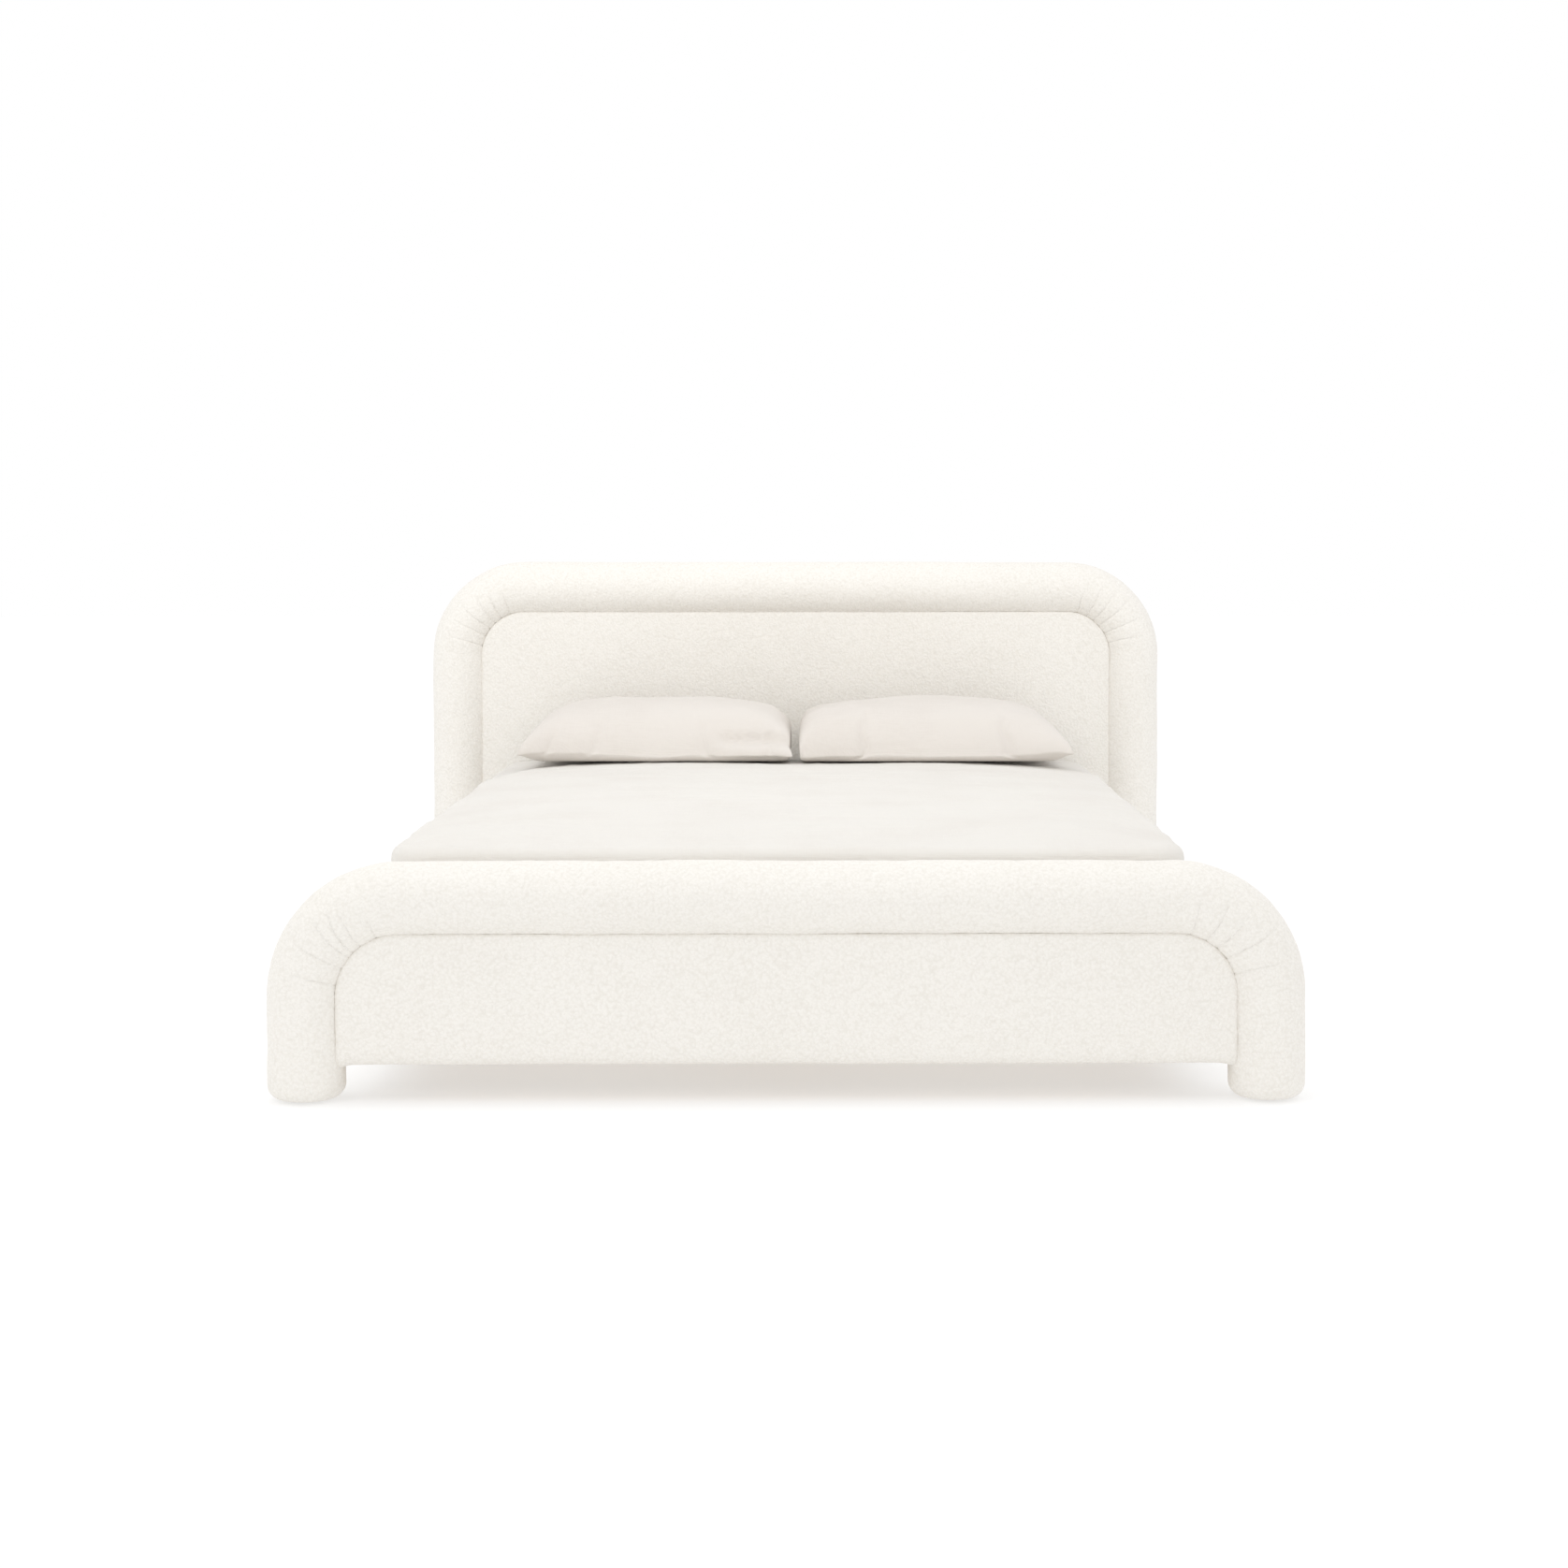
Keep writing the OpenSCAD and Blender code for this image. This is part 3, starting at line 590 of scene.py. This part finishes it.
def make_mattress():
    V, n, F, D = bed_skin(-1.0 * MM, DECK + 0.6 * MM, under=0.03, step=0.03)
    side = smooth(0, 0.02, D)
    V = V + n * (0.5 * MM * noise(V, 0.05, 70))[:, None] * (1 - side)[:, None]
    ob = add_mesh("mattress_body", V, F, TICKING)
    bm = bmesh.new()
    bm.from_mesh(ob.data)
    hole = [e for e in bm.edges if e.is_boundary]
    bmesh.ops.holes_fill(bm, edges=hole, sides=0)
    bmesh.ops.recalc_face_normals(bm, faces=bm.faces)
    bm.to_mesh(ob.data)
    bm.free()
    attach(ob, "mattress")
    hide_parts("mattress")
    # corded edge round the mattress's underside and top
    for name, z in (("mattress_cord_low", DECK + 0.004), ("mattress_cord_top", SIDE_TOP + 0.010)):
        pts = []
        for cx, cy, q0 in ((1, -1, -90), (1, 1, 0), (-1, 1, 90), (-1, -1, 180)):
            for q in np.radians(np.linspace(q0, q0 + 90, 9)):
                pts.append((cx * (MAT_W - MAT_R) + (MAT_R - 0.003) * math.cos(q),
                            cy * (MAT_L - MAT_R) + (MAT_R - 0.003) * math.sin(q), z))
        cu = bpy.data.curves.new(name, "CURVE")
        cu.dimensions = "3D"
        cu.bevel_depth = 0.003
        cu.bevel_resolution = 2
        sp = cu.splines.new("POLY")
        sp.points.add(len(pts) - 1)
        for p, q in zip(sp.points, pts):
            p.co = (*q, 1)
        sp.use_cyclic_u = True
        cu.materials.append(TICKING)
        cord = bpy.data.objects.new(name, cu)
        bpy.context.scene.collection.objects.link(cord)
        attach(cord, "mattress")


def make_fitted_sheet():
    V, n, F, D = bed_skin(SHEET_OUT, SHEET_LO.z + 0.2 * MM, under=SHEET_UNDER)
    on_top = D <= 0
    corner = np.exp(-(np.hypot(MAT_W - np.abs(V[:, 0]), MAT_L - np.abs(V[:, 1])) / 0.16) ** 2)
    pull = 1.2 * MM * ridges(V, (0.10, 0.10, 0.5), 81) * corner
    soft = 0.5 * MM * noise(V, (0.30, 0.07, 0.2), 83, 2) * on_top
    hem = smooth(0.23, 0.29, D)
    gather = hem * 2.0 * MM * np.sin(np.arctan2(V[:, 1], V[:, 0]) * 190)
    V = V + n * (pull + soft)[:, None]
    V[:, 2] += 0.25 * gather * (D > 0.26) * 0.4
    ob = add_mesh("fitted_sheet_cloth", V, F, SHEET)
    bm = bmesh.new()
    bm.from_mesh(ob.data)
    bmesh.ops.remove_doubles(bm, verts=bm.verts, dist=0.1 * MM)   # the corners under the mattress
    bm.to_mesh(ob.data)
    bm.free()
    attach(ob, "mattress")
    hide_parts("fitted_sheet")


def far_edge(x):
    """Where the coverlet's upper edge lies, for a point at x."""
    left = 9.0 * np.maximum(0, -x - 0.58) ** 2
    right = 3.5 * np.maximum(0, x - 0.60) ** 2
    wave = 4 * MM * np.sin(x * 7 + 1) + 2.5 * MM * np.sin(x * 19)
    return COVER_HI.y + 0.012 - left - right + wave


def make_coverlet():
    V, n, F, _ = bed_skin(COVERLET_OUT, COVER_LO.z, step=0.008)
    ob = add_mesh("coverlet_cloth", V, F, COVERLET)
    bm = bmesh.new()
    bm.from_mesh(ob.data)
    for v in bm.verts:
        v.co.y -= float(far_edge(v.co.x))
    bmesh.ops.bisect_plane(bm, geom=bm.verts[:] + bm.edges[:] + bm.faces[:], dist=1e-5,
                           plane_co=(0, 0, 0), plane_no=(0, 1, 0), clear_outer=True)
    for v in bm.verts:
        v.co.y += float(far_edge(v.co.x))
    bmesh.ops.recalc_face_normals(bm, faces=bm.faces)
    bm.normal_update()
    V = np.array([v.co for v in bm.verts])
    n = np.array([v.normal for v in bm.verts])
    if n[np.argmax(V[:, 2])][2] < 0:
        bmesh.ops.reverse_faces(bm, faces=bm.faces)
        n = -n
    down = np.clip(SIDE_TOP + COVERLET_OUT - V[:, 2], 0, 1)
    top = 1 - smooth(0, 0.01, down)
    x, y = V[:, 0], V[:, 1]
    foot = smooth(0.45, 0.0, y + MAT_L)          # 1 at the foot end
    warp = V.copy()
    warp[:, 1] += 0.05 * noise(V, (0.6, 0.4, 1), 90)
    soft = 3.0 * MM * noise(warp, (0.55, 0.16, 1.0), 91, 2)
    lines = 4.1 * MM * ridges(warp, (0.62, 0.075, 1.0), 92, 4) * (0.55 + 0.45 * noise(V, 0.30, 93))
    fine = 0.9 * MM * noise(warp, (0.18, 0.028, 0.3), 94, 3)
    drag = 1.6 * MM * ridges(warp + 0.35 * V[:, [1, 0, 2]], (0.35, 0.09, 1.0), 95, 4) * (0.3 + 0.7 * foot)
    head = 2.2 * MM * ridges(warp, (0.16, 0.05, 1), 96, 4) * smooth(0.20, 0.0, far_edge(x) - y)
    move = top * (soft + lines + fine + drag + head)
    hang = smooth(0, 0.05, down)
    low = smooth(0.0, 0.19, down)                  # the side's folds open towards the hem
    folds = (1.6 * MM * noise(V * (1, 1, 0.25), 0.13, 97, 2) + 1.9 * MM) * low
    folds = folds + (0.6 * MM * noise(V, 0.05, 98, 2) + 0.6 * MM) * hang
    band = 1.2 * MM * (np.exp(-((far_edge(x) - y - 0.004) / 0.006) ** 2)) * top
    hem = 0.9 * MM * (smooth(0.028, 0.022, V[:, 2] - COVER_LO.z))
    move = move + folds + band + hem
    move = np.clip(move, -1.2 * MM, 9 * MM)
    for v, m, k in zip(bm.verts, move, n):
        v.co += Vector(k) * float(m)
    bm.to_mesh(ob.data)
    bm.free()
    ob.data.shade_smooth()
    mod = ob.modifiers.new("cloth", "SOLIDIFY")
    mod.thickness, mod.offset = 1.8 * MM, -1
    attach(ob, "mattress")
    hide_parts("coverlet")


# ---------- pillows ----------

CASE_W, CASE_L = 0.735, 0.500                   # the case, empty and flat
PILLOW_THICK = 0.155
CLOTH_FRAMES = 42

def settle(ob, frames):
    """Runs the cloth on ob and keeps the result as its mesh."""
    sc = bpy.context.scene
    sc.frame_start, sc.frame_end = 1, frames
    for f in range(1, frames + 1):
        sc.frame_set(f)
    dg = bpy.context.evaluated_depsgraph_get()
    me = bpy.data.meshes.new_from_object(ob.evaluated_get(dg))
    ob.modifiers.clear()
    ob.data = me
    sc.frame_set(1)


def make_pillow(side, s, seed):
    """A stuffed pillow in its case: two layers sewn round the edge, filled by pressure, settled on the
    bed, and then shaped to lie like its neighbour."""
    lo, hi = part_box("pillow_%s_case" % side)
    w, l = CASE_W, CASE_L
    nx, ny = 76, 52
    U, W = np.meshgrid(np.linspace(-1, 1, nx), np.linspace(-1, 1, ny), indexing="ij")
    edge = (1 - np.abs(U) ** 6) * (1 - np.abs(W) ** 6)
    jig = noise(np.stack([U, W, 0 * U], -1).reshape(-1, 3), 0.35, seed, 2).reshape(U.shape)
    X, Y = U * w / 2, W * l / 2
    up = np.stack([X, Y, 0.020 * edge * (1 + 0.5 * jig)], -1).reshape(-1, 3)
    dn = np.stack([X, Y, -0.014 * edge * (1 - 0.3 * jig)], -1).reshape(-1, 3)
    faces = [tuple(f) for f in grid_faces(nx, ny)]
    rim = {i * ny + j for i in range(nx) for j in range(ny) if i in (0, nx - 1) or j in (0, ny - 1)}
    remap = {k: (k if k in rim else k + nx * ny) for k in range(nx * ny)}
    faces += [tuple(remap[k] for k in reversed(f)) for f in grid_faces(nx, ny)]
    ob = add_mesh("pillow_%s" % side, np.concatenate([up, dn]), faces, CASE)
    bm = bmesh.new()
    bm.from_mesh(ob.data)
    bmesh.ops.delete(bm, geom=[q for q in bm.verts if not q.link_faces], context="VERTS")
    bmesh.ops.recalc_face_normals(bm, faces=bm.faces)
    bm.faces.ensure_lookup_table()
    if bm.faces[nx * ny // 2].normal.z < 0:
        bmesh.ops.reverse_faces(bm, faces=bm.faces)
    bm.to_mesh(ob.data)
    bm.free()
    ob.location.z = 0.03
    bpy.ops.mesh.primitive_grid_add(x_subdivisions=24, y_subdivisions=24, size=1.2, location=(0, 0, 0))
    bed = bpy.context.object
    bed.modifiers.new("Collision", "COLLISION")
    bed.collision.thickness_outer = 0.004
    mod = ob.modifiers.new("Cloth", "CLOTH")
    st = mod.settings
    st.quality = 6
    st.mass = 0.25
    st.tension_stiffness = st.compression_stiffness = 14
    st.shear_stiffness = 6
    st.bending_stiffness = 0.35
    st.tension_damping = st.compression_damping = 12
    st.use_pressure = True
    st.uniform_pressure_force = 60.0
    st.use_pressure_volume = True
    st.target_volume = 0.026
    st.effector_weights.gravity = 0.5
    mod.collision_settings.use_collision = True
    mod.collision_settings.distance_min = 0.003
    settle(ob, CLOTH_FRAMES)
    bpy.data.objects.remove(bed)
    me = ob.data
    co = np.zeros(len(me.vertices) * 3)
    me.vertices.foreach_get("co", co)
    co = co.reshape(-1, 3)
    # the filling's weight lays the lower layer flat, so the case's thickness all stands above its seam
    T = co[:nx * ny].reshape(nx, ny, 3)
    B = T.copy()
    B[1:-1, 1:-1] = co[nx * ny:].reshape(nx - 2, ny - 2, 3)
    thick = np.maximum(T[..., 2] - B[..., 2], 0)
    thick *= PILLOW_THICK / max(thick.max(), 1e-6)
    to_edge = np.minimum((1 - np.abs(U)) * w / 2, (1 - np.abs(W)) * l / 2)
    pts = np.stack([X, Y, 0 * X], -1).reshape(-1, 3)
    wave = noise(pts, 0.11, seed + 20, 2).reshape(U.shape)
    inner = U * -s                                 # 1 at the end that faces the other pillow
    seam = 0.017 + 0.006 * wave + 0.008 * smooth(0.2, -0.7, inner) - 0.006 * smooth(-0.85, -1.0, inner)
    low = seam * np.exp(-(to_edge / 0.042) ** 2)
    thick *= 1 + 0.035 * noise(pts, 0.17, seed + 30, 2).reshape(U.shape)
    half = (hi.x - lo.x) / 2
    reach = 0.14
    for P, z in ((T, low + thick), (B, low)):      # the inner end is pressed full and steep by its neighbour
        P[..., 2] = z
        end = P[-1 if s < 0 else 0, :, 0][None, :]
        u = np.abs(P[..., 0] - end)
        near = np.where(u < reach, u * (np.minimum(u, reach) / reach) ** 0.7, u)
        shift = -s * (half - 0.0015 * (1 - W ** 2)) - end
        P[..., 0] += s * (near - u) + shift * np.clip(1 - u / 0.5, 0, 1)
        P[..., 0] -= s * 0.016 * smooth(0.75, 1.0, inner) * smooth(0.0, 0.06, z) * (1 - np.abs(W) ** 3)
        P[..., 0] = -s * np.minimum(P[..., 0] * -s, half + 0.003)
    if side == "left":                             # the case's spare corner lies flat in front of the pillow
        crease = smooth(0.40, 0.55, inner) * np.exp(-((W + 0.90 - 0.03 * inner) / 0.032) ** 2)
        T[..., 1] += 0.013 * crease
        T[..., 2] -= 0.015 * crease
        ear = smooth(0.45, 0.70, inner) * smooth(-0.90, -0.97, W)
        for P in (T, B):
            P[..., 1] -= 0.012 * ear
            P[..., 0] += 0.010 * ear * smooth(0.90, 1.0, inner)
    fold = noise(pts * (1, 0.2, 1), 0.020, seed + 40, 2).reshape(U.shape)
    T[..., 1] -= 0.0014 * fold * smooth(-0.45, -0.85, W) * smooth(0.0, 0.02, to_edge)
    creases = ridges(pts + 0.1 * wave.reshape(-1)[:, None], (0.05, 0.20, 1), seed + 50, 4).reshape(U.shape)
    T[..., 2] += 0.0012 * creases * smooth(0.0, 0.03, to_edge)
    co = np.concatenate([T.reshape(-1, 3), B[1:-1, 1:-1].reshape(-1, 3)])
    size = co.max(0) - co.min(0)
    mid = (co[:, 1].max() + co[:, 1].min()) / 2
    co[:, 1] = (co[:, 1] - mid) * min(1, (hi - lo).y / size[1])
    outer = (co[:, 0] * s).max()                   # the outer end is moved to where the CAD pillow ends
    far = smooth(-half, half, co[:, 0] * s)
    co[:, 0] += s * (half - 0.004 - outer) * far
    me.vertices.foreach_set("co", co.ravel())
    ob.location = ((lo.x + hi.x) / 2, (lo.y + hi.y) / 2, lo.z)
    me.update()
    me.shade_smooth()
    sub = ob.modifiers.new("Subdivision", "SUBSURF")
    sub.levels = sub.render_levels = 1
    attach(ob, "pillow_%s" % side)
    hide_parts("pillow_%s_case" % side, "pillow_%s_insert" % side)


make_mattress()
make_fitted_sheet()
make_coverlet()
make_pillow("left", -1, 5)
make_pillow("right", 1, 12)


# ---------- rail covers ----------

def make_rail_cover(side, s, seed):
    lo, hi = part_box("rail_cover_%s" % side)
    tl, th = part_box("side_rail_%s" % side)
    xi, xo = (lo.x, hi.x) if s > 0 else (-hi.x, -lo.x)
    ti, to = (tl.x, th.x) if s > 0 else (-th.x, -tl.x)
    z0, z1 = lo.z, hi.z

    def arc(cx, cz, r, a0, a1, n):
        return [(cx + r * math.cos(math.radians(a)), cz + r * math.sin(math.radians(a)))
                for a in np.linspace(a0, a1, n)]

    prof = [(ti, tl.z + 0.025), (xi + 0.0005, tl.z + 0.024)]
    prof += arc(xi + 0.003, z0 + 0.003, 0.003, 180, 270, 4)
    prof += [(x, z0) for x in np.linspace(xi + 0.01, xo - 0.014, 5)]
    prof += arc(xo - 0.010, z0 + 0.010, 0.010, 270, 360, 6)
    prof += [(xo, z) for z in np.linspace(z0 + 0.016, z1 - 0.020, 16)]
    prof += arc(xo - 0.014, z1 - 0.014, 0.014, 0, 90, 8)
    prof += [(x, z1) for x in np.linspace(xo - 0.018, xi + 0.010, 4)]
    prof += arc(xi + 0.007, z1 - 0.007, 0.007, 90, 180, 5)
    prof += [(xi + 0.0005, th.z - 0.009), (ti, th.z - 0.010)]
    inner = [(ti, th.z), (to, th.z), (to, tl.z), (ti, tl.z)]
    ring = np.array(prof + inner)
    ys = np.linspace(lo.y, hi.y, 190)
    P = np.zeros((len(ys), len(ring), 3))
    P[..., 0], P[..., 2] = ring[:, 0], ring[:, 1]
    P[..., 1] = ys[:, None]
    flat = P.reshape(-1, 3)
    outer = (flat[:, 0] > to + 0.001) | (flat[:, 2] > th.z + 0.001)
    amp = (1.0 * MM * noise(flat, 0.12, seed, 2) + 0.5 * MM * noise(flat, 0.03, seed + 1, 2)) * outer
    flat[:, 0] += amp - 0.8 * MM * outer
    flat[:, 0] *= s
    faces = [tuple(f) for f in grid_faces(len(ys), len(ring), wrap_v=True)]
    faces.append(tuple(range(len(ring))))
    faces.append(tuple(range((len(ys) - 1) * len(ring), len(ys) * len(ring))))
    ob = add_mesh("rail_cover_%s_cloth" % side, flat, faces, BOUCLE)
    fix_normals(ob)
    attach(ob, "frame")
    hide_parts("rail_cover_%s" % side)


make_rail_cover("left", -1, 131)
make_rail_cover("right", 1, 141)


# ---------- finishes of the parts that keep their CAD shape ----------

def finish_nodes():
    for name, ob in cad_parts.items():
        if name.endswith("_panel"):
            mat = PLY
        elif name.startswith("slat_") and not name.endswith("screws"):
            mat = BIRCH
        elif name.endswith(("_posts", "_corner_blocks")):
            mat = PINE_Z
        elif name.endswith(("_top_rail", "_battens")):
            mat = PINE_X
        elif name.startswith(("side_rail", "ledger", "centre_beam")):
            mat = PINE_Y
        elif name.startswith(("bracket", "beam_hangers", "centre_leg")):
            mat = BLACK
        elif name.endswith(("bolts", "nuts", "screws")):
            mat = ZINC
        elif name.startswith(("leveller", "floor_glides")):
            mat = NYLON
        else:
            continue
        ob.data.materials.clear()
        ob.data.materials.append(mat)


finish_nodes()


# ---------- camera, light and floor ----------

FRAME_PX = 1676                                 # the picture's width and height

def make_camera():
    cam = bpy.data.cameras.new("camera")
    ob = bpy.data.objects.new("camera", cam)
    bpy.context.scene.collection.objects.link(ob)
    cam.lens, cam.sensor_width = 61.458, 36.0
    tilt = math.radians(2.0)
    ob.location = (0.0543, -6.106, 1.0522)
    ob.rotation_euler = (math.pi / 2 - tilt, 0, math.radians(-0.682))
    cam.shift_x, cam.shift_y = -68.5 / FRAME_PX, -162.4 / FRAME_PX
    bpy.context.scene.camera = ob


def area_light(name, place, aim, size, power):
    li = bpy.data.lights.new(name, "AREA")
    li.shape, li.size, li.size_y, li.energy = "RECTANGLE", size[0], size[1], power
    ob = bpy.data.objects.new(name, li)
    bpy.context.scene.collection.objects.link(ob)
    ob.location = place
    ob.rotation_euler = (Vector(aim) - Vector(place)).to_track_quat("-Z", "Y").to_euler()


def make_stage():
    bpy.ops.mesh.primitive_plane_add(size=60, location=(0, 0, 0))
    floor = bpy.context.object
    floor.name = "floor"
    m, _, b = nodes_of("floor_paint")
    b.inputs["Base Color"].default_value = (0.55, 0.55, 0.55, 1)
    b.inputs["Roughness"].default_value = 0.9
    b.inputs["Specular IOR Level"].default_value = 0.0
    b.inputs["Emission Color"].default_value = (1, 1, 1, 1)      # a back-lit light table
    b.inputs["Emission Strength"].default_value = 0.47
    floor.data.materials.append(m)
    world = bpy.data.worlds.new("studio")
    bpy.context.scene.world = world
    world.use_nodes = True
    bg = world.node_tree.nodes["Background"]
    bg.inputs["Color"].default_value = (1, 1, 1, 1)
    bg.inputs["Strength"].default_value = 1.0
    area_light("key", (-2.6, -4.6, 4.2), (0, -0.4, 0.3), (3.5, 3.5), 22)
    area_light("fill", (-0.3, -0.95, 3.0), (0, 1.15, 0.60), (2.4, 0.9), 17)
    vs = bpy.context.scene.view_settings
    vs.view_transform = "Standard"
    vs.look = "None"


make_camera()
make_stage()
